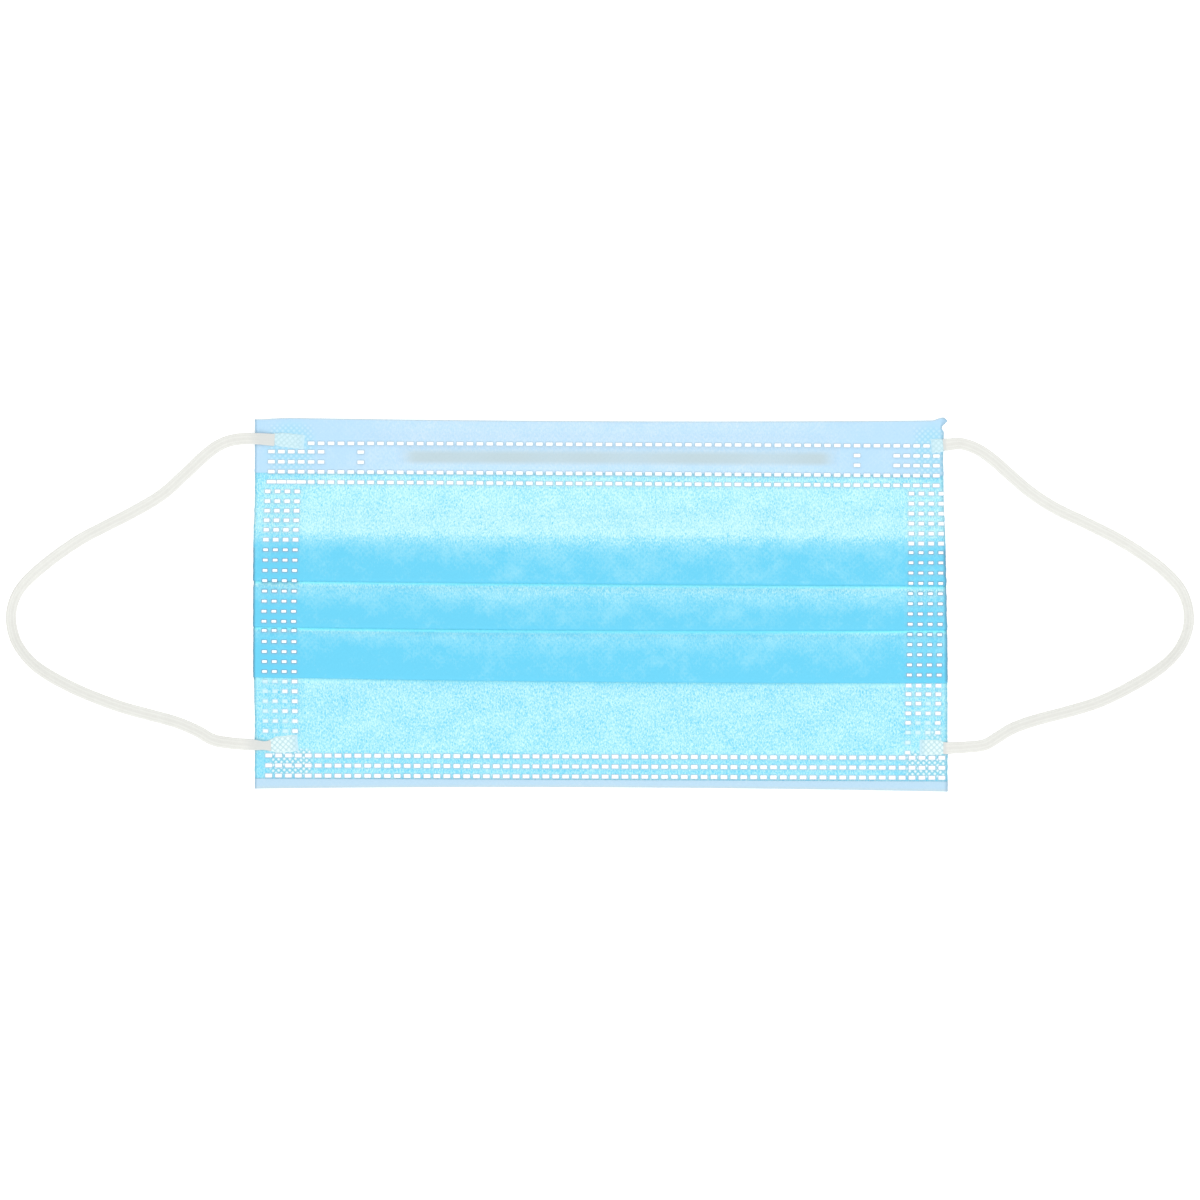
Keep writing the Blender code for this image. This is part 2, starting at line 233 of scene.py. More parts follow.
def loop_outline():
    """Cross-section of the elastic: rounded edges and a groove between each two ribs."""
    outline = []
    for step in range(OUTLINE_POINTS):
        angle = 2 * math.pi * (step + 0.5) / OUTLINE_POINTS
        across = math.copysign(abs(math.cos(angle)) ** OUTLINE_ROUNDING[0], math.cos(angle))
        up = math.copysign(abs(math.sin(angle)) ** OUTLINE_ROUNDING[1], math.sin(angle))
        groove = 0.5 + 0.5 * math.cos(math.pi * LOOP_RIBS * (across + 1.0))
        rib = int((across + 1.0) / 2 * LOOP_RIBS)
        outline.append({"across": across, "up": up * (1.0 - RIB_GROOVE * groove * (1.0 - across ** 8)),
                        "groove": groove, "rib": rib})
    return outline


def make_elastic(row):
    outline = loop_outline()
    under = follow_route(row["route"], LOOP_COURSE / STEPS_A_COURSE)
    spacing = (under[1] - under[0]).length
    length = spacing * (len(under) - 1)
    points, grooves, strands, flats, middle = [], [], [], [], []
    for index, foot in enumerate(under):
        before, after = under[max(0, index - 1)], under[min(len(under) - 1, index + 1)]
        ahead = (after - before).normalized()
        outwards = Vector((ahead.y, -ahead.x, 0.0)).normalized() * -row["side"]
        from_end = min(index, len(under) - 1 - index) * spacing
        fullness = END_THINNESS + (1.0 - END_THINNESS) * smooth_step(0.0, END_TAPER, from_end)
        tilt = math.radians(from_table(LOOP_TURN, index / (len(under) - 1)))
        sway = noise.noise(Vector((index * spacing * SWAY_WAVES, row["side"] * 7.0, 0.0)))
        tilt += SWAY_TURN * sway * smooth_step(0.004, 0.012, from_end)
        half_width = LOOP_WIDTH / 2 * (1.0 + END_SPREAD * (1.0 - fullness) + SWAY_WIDTH * sway)
        from_chin_end = (len(under) - 1 - index) * spacing
        half_width *= 1.0 - row["pinch"] * math.exp(-((from_chin_end - PINCH_AT) / PINCH_REACH) ** 2)
        half_thickness = LOOP_THICKNESS / 2 * fullness
        slant = outwards * math.cos(tilt) + Vector((0, 0, math.sin(tilt)))
        face = Vector((0, 0, math.cos(tilt))) - outwards * math.sin(tilt)
        lift = abs(math.sin(tilt)) * half_width + half_thickness * math.cos(tilt)
        centre = foot + Vector((0.0, 0.0, lift))
        if index % LOOP_PATH_EVERY == 0 or index == len(under) - 1:
            middle.append(tuple(centre))
        for spot in outline:
            stitch = 2 * math.pi * (index / STEPS_A_COURSE + 0.5 * (spot["rib"] % 2))
            bulge = 1.0 + STITCH_BULGE * math.cos(stitch) * (1.0 - spot["groove"])
            points.append(centre + slant * half_width * spot["across"]
                          + face * half_thickness * spot["up"] * bulge)
            # Painted shade in the grooves between the ribs and between the stitches
            grooves.append(min(1.0, spot["groove"] + 0.25 * (0.5 - 0.5 * math.cos(stitch))))
            strands.append((index * spacing * 1000, spot["across"] * LOOP_WIDTH * 500, 0.0))
            flats.append(1.0 - smooth_step(row["flat"], row["flat"] * 2.6, from_end))
    count = len(outline)
    faces = []
    for index in range(len(under) - 1):
        for corner in range(count):
            here, there = index * count + corner, index * count + (corner + 1) % count
            faces.append((here, there, there + count, here + count))
    faces.append(tuple(reversed(range(count))))
    faces.append(tuple(range((len(under) - 1) * count, len(under) * count)))
    mesh = bpy.data.meshes.new(row["name"])
    mesh.from_pydata(points, [], faces)
    add_values(mesh, "groove", grooves)
    add_values(mesh, "strand", strands)
    add_values(mesh, "flattened", flats)
    finish_mesh(mesh, 70)
    return link_piece(row["name"], mesh), middle, length


def finish_mesh(mesh, sharp_degrees):
    """Turns all faces outwards and shades them smooth between the sharp edges."""
    shell = bmesh.new()
    shell.from_mesh(mesh)
    bmesh.ops.recalc_face_normals(shell, faces=shell.faces)
    shell.to_mesh(mesh)
    shell.free()
    mesh.shade_smooth()
    mesh.set_sharp_from_angle(angle=math.radians(sharp_degrees))
    mesh.update()


def add_node(tree, kind, inputs=None, **settings):
    """A shader node whose inputs are other nodes' outputs or plain values."""
    item = tree.nodes.new(kind)
    for key, value in settings.items():
        setattr(item, key, value)
    for key, value in (inputs or {}).items():
        if isinstance(value, bpy.types.NodeSocket):
            tree.links.new(value, item.inputs[key])
        else:
            item.inputs[key].default_value = value
    return item


def read_values(tree, name, output="Fac"):
    return add_node(tree, "ShaderNodeAttribute", attribute_name=name).outputs[output]


def do_math(tree, operation, first, second=0.0, clamp=False):
    return add_node(tree, "ShaderNodeMath", {0: first, 1: second}, operation=operation,
                    use_clamp=clamp).outputs[0]


def vary(tree, base, pattern, amount, clamp=False):
    """A value that a noise pattern raises and lowers."""
    change = do_math(tree, "MULTIPLY", do_math(tree, "SUBTRACT", pattern, 0.5), amount)
    return do_math(tree, "ADD", base, change, clamp)


def mix_colours(tree, share, first, second):
    mixed = add_node(tree, "ShaderNodeMix", {"Factor": share, 6: first, 7: second}, data_type="RGBA")
    return mixed.outputs[2]


def noise_value(tree, place, scale, stretch=(1.0, 1.0, 1.0), turn=0.0, detail=2.0, distortion=0.0):
    """Noise in a cloth's own millimetres, stretched along one way of it."""
    mapped = add_node(tree, "ShaderNodeMapping",
                      {"Vector": place, "Rotation": (0.0, 0.0, turn), "Scale": stretch})
    return add_node(tree, "ShaderNodeTexNoise",
                    {"Vector": mapped.outputs[0], "Scale": scale, "Detail": detail,
                     "Distortion": distortion}).outputs["Fac"]


def dress(finish, colour, height, distance):
    """Links the colour and the relief of a material to its shader."""
    tree = finish.node_tree
    shader = tree.nodes["Principled BSDF"]
    tree.links.new(colour, shader.inputs["Base Color"])
    bump = add_node(tree, "ShaderNodeBump", {"Height": height, "Distance": distance, "Strength": 1.0})
    tree.links.new(bump.outputs[0], shader.inputs["Normal"])


def make_elastic_finish():
    finish = make_finish("knitted_elastic", 0.82, Sheen_Weight=0.15, Sheen_Roughness=0.4)
    tree = finish.node_tree
    strand = read_values(tree, "strand", "Vector")
    groove = read_values(tree, "groove")
    yarn = noise_value(tree, strand, 1.0, (2.6, 5.0, 1.0), detail=3.0)
    cloud = noise_value(tree, strand, 1.0, (0.35, 0.5, 1.0))
    # Painted shade in the grooves, with the yarn's own uneven tone
    shade = vary(tree, do_math(tree, "MULTIPLY", groove, 0.4), yarn, 0.5)
    shade = vary(tree, shade, cloud, 0.35, clamp=True)
    colour = mix_colours(tree, shade, ELASTIC_LIGHT, ELASTIC_SHADE_AND_YARN_TONE)
    flattened = do_math(tree, "MULTIPLY", read_values(tree, "flattened"), 0.8)
    dress(finish, mix_colours(tree, flattened, colour, ELASTIC_FLAT), yarn, 0.00006)
    return finish


elastic_finish = make_elastic_finish()
for row in LOOPS:
    elastic, middle, length = make_elastic(row)
    elastic.data.materials.append(elastic_finish)
    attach(elastic, "root")
    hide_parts(row["node"])


# Outer ply: thin blue spunbond cloth, pleated in three with the other plies. Rows of small welds
# hold all the plies together along the nose edge, the chin edge and both sides.

MASK_WIDTH = 0.175
MASK_HEIGHT = 0.094
# The cut sides: how far out they lie, by share of the height from the nose edge down
SIDE_EDGES = {
    -1: ((0.0, 0.08771), (0.20, 0.08770), (0.36, 0.08790), (0.69, 0.08782), (0.73, 0.08766),
         (0.82, 0.08745), (1.0, 0.08738)),
    1: ((0.0, 0.08675), (0.10, 0.08665), (0.20, 0.08685), (0.36, 0.08728), (0.50, 0.08757),
        (0.60, 0.08782), (0.80, 0.08806), (1.0, 0.08815)),
}
EDGE_SHIFT_FROM = 0.074
CORNER_DROOP = 0.0005
CORNER_LIFT = 0.0007
NOSE_EDGE_SAG = 0.0006
CHIN_EDGE_RISE = 0.0007
PLY = 0.00016
WALL_FULL = 0.00056
WALL_WELDED = 0.00048
SIDES_WELDED = (0.066, 0.0785)
CHIN_WELDED = (-0.0345, -0.0380)
# The wall is fuller round the nose wire: by how much, and where this starts and is complete
WIRE_BED = 0.00064
WIRE_BED_LOW = (0.0315, 0.0345)
WIRE_BED_HIGH = (0.0440, 0.0405)
WIRE_BED_ENDS = (0.064, 0.056)
LAYER_GAP = 0.00008
LAYER_PUFF = 0.00010
RISE_RUN = 0.0085
EDGE_TUCK = 0.0007
HEM_EDGE = 0.0330
HEM_EDGE_RISE = 0.0003
# Pleats: height of the front fold at the left side, middle and right side, depth of the overlap
# at both sides, and how many layers the panel below has climbed where the fold lies on it
PLEATS = (
    {"front": (0.00561, 0.00515, 0.00503), "depth": (0.01195, 0.01215), "lean": 0.80},
    {"front": (-0.00603, -0.00657, -0.00614), "depth": (0.01006, 0.01006), "lean": 0.80},
    {"front": (-0.01882, -0.01965, -0.01954), "depth": (0.01170, 0.01170), "lean": 0.12},
)
COLUMN_PITCH = 0.000838
ROW_PITCH = 0.000634
TURN_STEPS = 7
CLIMB_STEPS = 6
LONG_CLIMB_STEPS = 13
UNDER_STEPS = 4
# How far above and below a fold the cloth stays even
PLAIN_ABOVE = 0.0014
PLAIN_BELOW = 0.0012
# Welds: width and height, where a row starts, its pitch, the row's height at its left and right
# ends, and which of its welds are there
NOSE_WELD = (0.00164, 0.00080)
CHIN_WELD = (0.00162, 0.00087)
MERGED_WELD = (0.00235, 0.00078)
SIDE_WELD = (0.00132, 0.00081)
PLEAT_WELD = (0.00120, 0.00063)
NOSE_FIRST, NOSE_PITCH = -0.08351, 0.002514
CHIN_FIRST, CHIN_PITCH = -0.0839, 0.002508
PAST_THE_WIRE = (*range(6), 9, 59, *range(63, 68))
NOSE_ROWS = (
    {"y": (0.04054, 0.04053), "welds": range(4, 67)},
    {"y": (0.03839, 0.03798), "welds": PAST_THE_WIRE},
    {"y": (0.03581, 0.03553), "welds": PAST_THE_WIRE},
    {"y": (0.03333, 0.03302), "welds": range(68)},
    {"y": (0.03074, 0.03051), "welds": range(68)},
)
CHIN_ROWS = (
    {"y": (-0.03859, -0.03848), "welds": range(69)},
    {"y": (-0.04112, -0.04101), "welds": range(69)},
    {"y": (-0.04370, -0.04353), "welds": range(69)},
)
# The last row of nose welds has a few at its left end that ran into each other
MERGED_WELDS = 4
# Side columns: x of the outermost one at its top, middle and bottom, the step inwards, how many
# welds each has, and how far the rows lie off an even spacing, by share of the height
SIDE_COLUMNS = (
    {"x": (-0.08445, -0.08513, -0.08474), "inwards": 0.002495, "rows": (25, 25, 25, 25),
     "bend": ((0.0, -0.0001), (0.21, 0.00030), (0.38, 0.00006), (0.42, -0.00005),
              (0.55, -0.00010), (0.58, 0.00012), (0.63, -0.00015), (1.0, 0.0))},
    {"x": (0.08620, 0.08594, 0.08558), "inwards": -0.002515, "rows": (25, 25, 25, 27),
     "bend": ((0.0, 0.0), (0.20, 0.0), (0.25, 0.00025), (0.45, 0.0), (0.60, -0.00020),
              (0.76, -0.00030), (0.79, -0.00045), (0.83, -0.0001), (0.88, 0.00005), (1.0, 0.00030))},
)
SIDE_ROWS = 25
SIDE_TOP = 0.02844
SIDE_PITCH = 0.002535
# Strength of the last rows of side welds, from the outermost column inwards
FADED_FROM = 19
FADED = (
    ((0.35, 0.40, 0.55, 0.95), (0.15, 0.15, 0.70, 1.00), (0.35, 0.50, 0.12, 0.90),
     (0.30, 0.45, 0.75, 0.85), (0.40, 0.50, 0.25, 0.70), (0.60, 0.30, 0.15, 0.95)),
    ((0.95, 0.70, 0.85, 0.85), (1.00, 0.85, 0.90, 0.95), (0.90, 0.30, 0.90, 1.00),
     (0.90, 0.60, 0.75, 0.90), (0.80, 0.15, 0.25, 0.85), (0.70, 0.40, 0.12, 0.35),
     (0.00, 0.00, 0.00, 0.35), (0.00, 0.00, 0.00, 0.60)),
)
WELDS_IN_PLEATS = (-0.0192, 0.0140)
RELIEF_SOFT = 0.00011
RELIEF_FINE = 0.00004
PRESS_DEPTH = 0.00020
PRESS_REACH = (0.00118, 0.00078)
# How far the painted shade round the welds is shifted to their chin side
WELD_SHADE_SHIFT = 0.00022
# Blueness below each fold: next to the fold above, far from it, and how far the change reaches
ZONE_TONES = (
    {"near": 0.50, "far": 0.33, "reach": 0.0013},
    {"near": 0.48, "far": 0.93, "reach": 0.0025},
    {"near": 0.42, "far": 1.05, "reach": 0.0050},
    {"near": 0.62, "far": 1.04, "reach": 0.0052},
    {"near": 0.46, "far": 0.46, "reach": 0.0006},
)
# What is added to the blueness, and where, as the places where it starts and is complete
# Painted light: paler cloth just below the folds towards the sides, where their shade falls
PAINTED_LIGHT_UNDER_FOLDS = -0.34
PAINTED_LIGHT_REACH = (0.0003, 0.0017)
TOWARDS_SIDES = (0.035, 0.076)
RIGHT_NEAR = 0.10
RIGHT_NEARER = 0.35
TOWARDS_RIGHT = (0.020, 0.055)
LEFT_TONE = 0.08
TOWARDS_LEFT = (-0.015, -0.065)
SIDE_TONES = (0.11, 0.06)
AMONG_SIDE_WELDS = (0.0740, 0.0775)
CHIN_TONE = 0.14
AMONG_CHIN_WELDS = (-0.0370, -0.0384)
# Painted light: paler cloth on the climb over the first hidden fold, against the shade of its slope
CLIMB_PAINTED_LIGHT = -0.05
ON_THE_CLIMB = (0.0245, 0.0185)
FOLD_DAWN = 0.34
FOLD_BLUR = (0.0009, 0.0010)
# Strength of the painted highlight just below each fold, by zone
PAINTED_FOLD_LIGHTS = (0.0, 0.0, 0.85, 1.0, 0.35)
BLUE_PALE = linear(191, 234, 233)
BLUE_DEEP = linear(92, 193, 225)
# Colour of the painted highlight just below the folds
PAINTED_FOLD_LIGHT = linear(138, 246, 254)
WELD_PAINTED_SHADE = linear(132, 172, 194)
CUT_EDGE = linear(62, 112, 142)
CRUSHED_BLUE = linear(140, 207, 230)
KNURL_LIGHT = linear(222, 234, 236)
KNURL_DEEP = linear(98, 168, 184)


def bow(share):
    return 1.0 - share * share


def nose_edge(share):
    lift = CORNER_LIFT * smooth_step(0.965, 0.995, share)
    droop = CORNER_DROOP * smooth_step(-0.90, -1.0, share)
    return MASK_HEIGHT / 2 - NOSE_EDGE_SAG * bow(share) + lift - droop


def chin_edge(share):
    return -MASK_HEIGHT / 2 + CHIN_EDGE_RISE * bow(share)


def hem_edge(share):
    """Where the top hem's cut edge lies, on the fourth row of welds."""
    return HEM_EDGE + HEM_EDGE_RISE * bow(share)


def cloth_x(share, y):
    """Where a point of the cloth lies from left to right. Only the sides are cut unevenly."""
    x = share * MASK_WIDTH / 2
    side = 1 if share > 0 else -1
    cut = from_table(SIDE_EDGES[side], min(1.0, max(0.0, 0.5 - y / MASK_HEIGHT)))
    return x + side * (cut - MASK_WIDTH / 2) * smooth_step(EDGE_SHIFT_FROM, MASK_WIDTH / 2, abs(x))


def welded(x, y=0.0):
    """How far the plies are pressed together: 0 in the middle, 1 along the sides and the chin."""
    return max(smooth_step(*SIDES_WELDED, abs(x)), smooth_step(*CHIN_WELDED, y))


def wall(x, y=0.0):
    """Thickness of the body's plies together. They stand a little fuller under the nose wire."""
    fuller = smooth_step(*WIRE_BED_LOW, y) * smooth_step(*WIRE_BED_HIGH, y)
    fuller *= smooth_step(*WIRE_BED_ENDS, abs(x))
    return WALL_FULL - (WALL_FULL - WALL_WELDED) * welded(x, y) + WIRE_BED * fuller


def layer_pitch(x):
    gap = LAYER_GAP + LAYER_PUFF * bow(x / (MASK_WIDTH / 2)) * (1.0 - welded(x))
    return wall(x) + gap


def fold_places(share):
    places = []
    for row in PLEATS:
        left, middle, right = row["front"]
        front = middle + (right - left) / 2 * share + ((left + right) / 2 - middle) * share * share
        depth = (row["depth"][0] * (1.0 - share) + row["depth"][1] * (1.0 + share)) / 2
        places.append({"front": front, "hidden": front + depth, "lean": row["lean"]})
    return places


def stretches(share):
    """The folded body's middle line, from the nose edge down, as a list of plain stretches."""
    x = share * MASK_WIDTH / 2
    turn = (wall(x) + layer_pitch(x)) / 2
    places = fold_places(share)
    first = places[0]["hidden"] - turn
    parts = [("flat", nose_edge(share) - EDGE_TUCK, first + RISE_RUN, 0.0, 0.0, 0),
             ("climb", first + RISE_RUN, first, 0.0, 2.0, 0)]
    for index, place in enumerate(places):
        front, hidden, lean = place["front"] + turn, place["hidden"] - turn, place["lean"]
        if index:
            above = places[index - 1]
            parts.append(("climb", above["front"] + turn, hidden, above["lean"], 2.0, index + 1))
        parts.append(("flat", hidden, front, 2.0, 2.0 + lean, index + 1))
        parts.append(("turn", front, -1, 2.0 + lean, 1.0 + lean, -1))
        parts.append(("under", front, hidden, 1.0 + lean, 1.0, -1))
        parts.append(("turn", hidden, 1, 1.0, 0.0, -1))
        parts.append(("under", hidden, front, 0.0, lean if index < 2 else 0.0, -1))
    last = places[-1]["front"] + turn
    parts.append(("flat", last, chin_edge(share) + EDGE_TUCK, 0.0, 0.0, 4))
    return parts


def lattice(parts):
    """For each flat stretch, the shares of it where a row of points lies, level with the welds."""
    marks = []
    for kind, start, end, low, high, zone in parts:
        shares = []
        if kind == "flat":
            row = math.floor((start - SIDE_TOP) / ROW_PITCH)
            y = SIDE_TOP + row * ROW_PITCH
            while y > end + ROW_PITCH * 0.4:
                if y < start - ROW_PITCH * 0.4:
                    shares.append((start - y) / (start - end))
                y -= ROW_PITCH
            shares.append(1.0)
        marks.append(shares)
    return marks


FLAT_MARKS = lattice(stretches(1.0))


def folded_line(share):
    """Points of the middle line at one place across the mask: y, z, zone and share of relief."""
    x = share * MASK_WIDTH / 2
    pitch = layer_pitch(x)
    line = []

    def add(y, layer, zone, relief):
        local = wall(x, y) if layer < 0.5 and zone in (0, 4) else wall(x)
        line.append((y, local / 2 + pitch * layer, zone, relief))

    for (kind, start, end, low, high, zone), marks in zip(stretches(share), FLAT_MARKS):
        if kind == "turn":
            for step in range(1, TURN_STEPS + 1):
                angle = math.pi * step / TURN_STEPS
                layer = (low + high) / 2 + math.cos(angle) / 2
                add(start + end * pitch / 2 * math.sin(angle), layer, zone, 0.0)
            continue
        if kind == "flat":
            if not line:
                add(start, low, zone, 1.0)
            steps = marks
        else:
            count = UNDER_STEPS if kind == "under" else LONG_CLIMB_STEPS if zone == 0 else CLIMB_STEPS
            steps = [step / count for step in range(1, count + 1)]
        for part in steps:
            y = start + (end - start) * part
            eased = (part + smooth_step(0.0, 1.0, part)) / 2 if kind == "climb" else part
            relief = 1.0 if zone >= 0 else 0.0
            if kind == "flat" and zone in (1, 2, 3):
                relief *= smooth_step(0.0, PLAIN_ABOVE, y - end)
            if zone >= 2:
                relief *= smooth_step(0.0, PLAIN_BELOW, start - y)
            add(y, low + (high - low) * eased, zone, relief)
    return line


def shifted(line, x, way, inset):
    """The folded line moved out to the front of the body, way 1, or to its back, -1."""
    moved = []
    for index, (y, z, zone, relief) in enumerate(line):
        before, after = line[max(0, index - 1)], line[min(len(line) - 1, index + 1)]
        dy, dz = after[0] - before[0], after[1] - before[1]
        length = math.hypot(dy, dz) or 1.0
        offset = way * ((wall(x, y) if zone in (0, 4) else wall(x)) / 2 - inset)
        moved.append((y + dz / length * offset, z - dy / length * offset, zone, relief))
    return moved


def list_welds():
    """Every small weld: its place, size and strength."""
    welds = []
    draw = random.Random(11)
    groups = (("nose", NOSE_ROWS, NOSE_FIRST, NOSE_PITCH, NOSE_WELD),
              ("chin", CHIN_ROWS, CHIN_FIRST, CHIN_PITCH, CHIN_WELD))
    for group, rows, first, pitch, size in groups:
        for row in rows:
            last = max(row["welds"])
            for k in row["welds"]:
                part = k / last
                merged = row is NOSE_ROWS[-1] and k < MERGED_WELDS
                welds.append({"x": first + pitch * k,
                              "y": row["y"][0] * (1 - part) + row["y"][1] * part,
                              "size": MERGED_WELD if merged else size,
                              "strength": 1.0 - 0.12 * draw.random(), "group": group})
    for side, column in enumerate(SIDE_COLUMNS):
        top, middle, bottom = column["x"]
        for row in range(max(column["rows"])):
            part = row / (SIDE_ROWS - 1)
            outermost = (top * (1 - 2 * part) + middle * 2 * part if part < 0.5
                         else middle * (2 - 2 * part) + bottom * (2 * part - 1))
            y = SIDE_TOP - SIDE_PITCH * row + from_table(column["bend"], part)
            pleated = WELDS_IN_PLEATS[0] < y < WELDS_IN_PLEATS[1]
            for place, rows in enumerate(column["rows"]):
                strength = 1.0 - 0.15 * draw.random()
                if row >= FADED_FROM:
                    strength = FADED[side][row - FADED_FROM][place]
                if row < rows:
                    welds.append({"x": outermost + column["inwards"] * place, "y": y,
                                  "size": PLEAT_WELD if pleated else SIDE_WELD,
                                  "strength": strength, "group": "side"})
    return welds


def bucket_of(x, y):
    return math.floor(x / BUCKET), math.floor(y / BUCKET)


WELDS = list_welds()
BUCKET = 0.0026
WELD_BUCKETS = {}
for weld in WELDS:
    WELD_BUCKETS.setdefault(bucket_of(weld["x"], weld["y"]), []).append(weld)


def pressed(x, y):
    """How far the cloth is drawn in by the welds near one point, from 0 to about 1."""
    column, row = bucket_of(x, y)
    total = 0.0
    for i in (column - 1, column, column + 1):
        for j in (row - 1, row, row + 1):
            for weld in WELD_BUCKETS.get((i, j), ()):
                across = (x - weld["x"]) / PRESS_REACH[0]
                along = (y - weld["y"]) / PRESS_REACH[1]
                total += (0.35 + 0.65 * weld["strength"]) * math.exp(-across * across - along * along)
    return total


def relief(x, y):
    """Height of the cloth's slight unevenness above its plain shape, less the pull of the welds."""
    soft = noise.noise(Vector((x * 105, y * 140, 3.0))) * RELIEF_SOFT
    fine = noise.noise(Vector((x * 340, y * 300, 9.0))) * RELIEF_FINE
    return (soft + fine) * (1.0 - 0.6 * welded(x, y)) - PRESS_DEPTH * min(1.1, pressed(x, y))


# The loops' welded ends: from the outer to the inner end, the width there, how blue the film and
# the cloth round it are, and the marks of the tool beside it: middle, half size and clearness
LOOP_WELDS = (
    {"name": "loop_end_upper_left", "node": "loop_weld_upper_left", "x": (-0.0831, -0.0752),
     "y": (0.0416, 0.0408), "width": 0.0036, "tint": 0.75, "blue": 0.55,
     "marks": ((-0.0785, 0.0392, 0.0062, 0.0068, 0.28),)},
    {"name": "loop_end_lower_left", "node": "loop_weld_lower_left", "x": (-0.0838, -0.0765),
     "y": (-0.0361, -0.0354), "width": 0.0042, "tint": 0.15, "blue": 0.12,
     "marks": ((-0.0782, -0.0402, 0.0058, 0.0036, 1.0),)},
    {"name": "loop_end_upper_right", "node": "loop_weld_upper_right", "x": (0.0869, 0.0836),
     "y": (0.0407, 0.0405), "width": 0.0035, "tint": 0.75, "blue": 0.55,
     "marks": ((0.0838, 0.0390, 0.0050, 0.0068, 0.30),)},
    {"name": "loop_end_lower_right", "node": "loop_weld_lower_right", "x": (0.0875, 0.0810),
     "y": (-0.0359, -0.0358), "width": 0.0038, "tint": 0.20, "blue": 0.15,
     "marks": ((0.0826, -0.0402, 0.0056, 0.0036, 1.0), (0.0846, -0.0322, 0.0024, 0.0018, 0.60))},
)


def knurled(x, y):
    """The loops' welding tool at one point: how clear its diamonds are, and how blue its mark is."""
    diamonds, blue = 0.0, 0.0
    for row in LOOP_WELDS:
        for centre_x, centre_y, reach_x, reach_y, clear in row["marks"]:
            far = math.hypot((x - centre_x) / reach_x, (y - centre_y) / reach_y)
            square = max(abs(x - centre_x) / reach_x, abs(y - centre_y) / reach_y)
            diamonds = max(diamonds, clear * (1.0 - smooth_step(0.80, 0.98, square)))
            blue = max(blue, row["blue"] * (1.0 - smooth_step(0.55, 1.25, far)))
    return diamonds, blue


def closed_sheet(name, fronts, backs, rows, outward):
    """A mesh of two like grids of points, given column by column, closed round their rim."""
    size = len(fronts)
    columns = size // rows
    faces = []
    for column in range(columns - 1):
        for row in range(rows - 1):
            here = column * rows + row
            front = (here, here + 1, here + rows + 1, here + rows)[::outward]
            faces.append(front)
            faces.append(tuple(size + corner for corner in reversed(front)))
    rim = list(range(rows)) + [column * rows + rows - 1 for column in range(1, columns)]
    rim += [(columns - 1) * rows + row for row in range(rows - 2, -1, -1)]
    rim += [column * rows for column in range(columns - 2, 0, -1)]
    for here, there in zip(rim, rim[1:] + rim[:1]):
        faces.append((here, here + size, there + size, there)[::outward])
    mesh = bpy.data.meshes.new(name)
    mesh.from_pydata(fronts + backs, [], faces)
    return mesh


def make_ply(name, columns, outward, spots):
    """A thin sheet round middle points (x, y, z), with what its material reads at each of them."""
    fronts, backs, places = [], [], []
    for column in columns:
        travelled = 0.0
        for index, (x, y, z) in enumerate(column):
            before, after = column[max(0, index - 1)], column[min(len(column) - 1, index + 1)]
            dy, dz = after[1] - before[1], after[2] - before[2]
            length = math.hypot(dy, dz) or 1.0
            normal = Vector((0.0, dz / length, -dy / length)) * outward
            middle = Vector((x, y, z))
            fronts.append(middle + normal * PLY / 2)
            backs.append(middle - normal * PLY / 2)
            travelled += math.hypot(y - before[1], z - before[2])
            places.append((x * 1000, -travelled * 1000, 0.0))
    mesh = closed_sheet(name, fronts, backs, len(columns[0]), outward)
    add_values(mesh, "cloth_place", places * 2)
    for key in spots[0]:
        add_values(mesh, key, [spot[key] for spot in spots] * 2)
    finish_mesh(mesh, 75)
    return link_piece(name, mesh)


CUT_STRIP = 0.00026
CUT_SHARE = 0.996
CUT_UNEVENNESS = 0.00016
SPUR_LENGTH = 0.0015
SPUR_NOTCH = 0.0005


def column_shares():
    half = MASK_WIDTH / 2
    x = NOSE_FIRST - COLUMN_PITCH * math.floor((half + NOSE_FIRST) / COLUMN_PITCH)
    places = [-half, -half + CUT_STRIP]
    while x < half - COLUMN_PITCH * 0.3:
        if x > -half + COLUMN_PITCH * 0.3:
            places.append(x)
        x += COLUMN_PITCH
    places += [half - CUT_STRIP, half]
    return [place / half for place in places]


def ragged(share, y):
    """Uneven cut of the side edges, with a small spur of melted cloth at the upper right corner."""
    if abs(share) < CUT_SHARE:
        return 0.0
    spur = 0.0
    if share > 0 and y > 0.0440:
        tip = smooth_step(0.0458, 0.0465, y) * (1.0 - 0.75 * smooth_step(0.0470, 0.0479, y))
        spur = SPUR_LENGTH * tip - SPUR_NOTCH * smooth_step(0.0441, 0.0449, y)
    return noise.noise(Vector((y * 700, share * 5.0, 1.0))) * CUT_UNEVENNESS + spur


def weld_shade_at(x, y):
    """How much painted shade lies on the cloth round the welds, for the dimples they draw in, a little
    more on their chin side.
    """
    return min(1.0, pressed(x, y + WELD_SHADE_SHIFT))


def painted_fold_light(zone, down):
    """Painted highlight: the bright line of cloth just below a fold, where light comes through the open
    edge, painted over the shade the fold casts there.
    """
    return PAINTED_FOLD_LIGHTS[zone] * (1.0 - smooth_step(0.0002, 0.0010, down)) if zone >= 2 else 0.0


def cut_shade(share, y):
    """The dark line along the cut sides, stronger where the pleats lie."""
    line = 1.0 if abs(share) > 0.999 else 0.7 if abs(share) > CUT_SHARE else 0.0
    return line * (1.0 if WELDS_IN_PLEATS[0] < y < WELDS_IN_PLEATS[1] else 0.55)


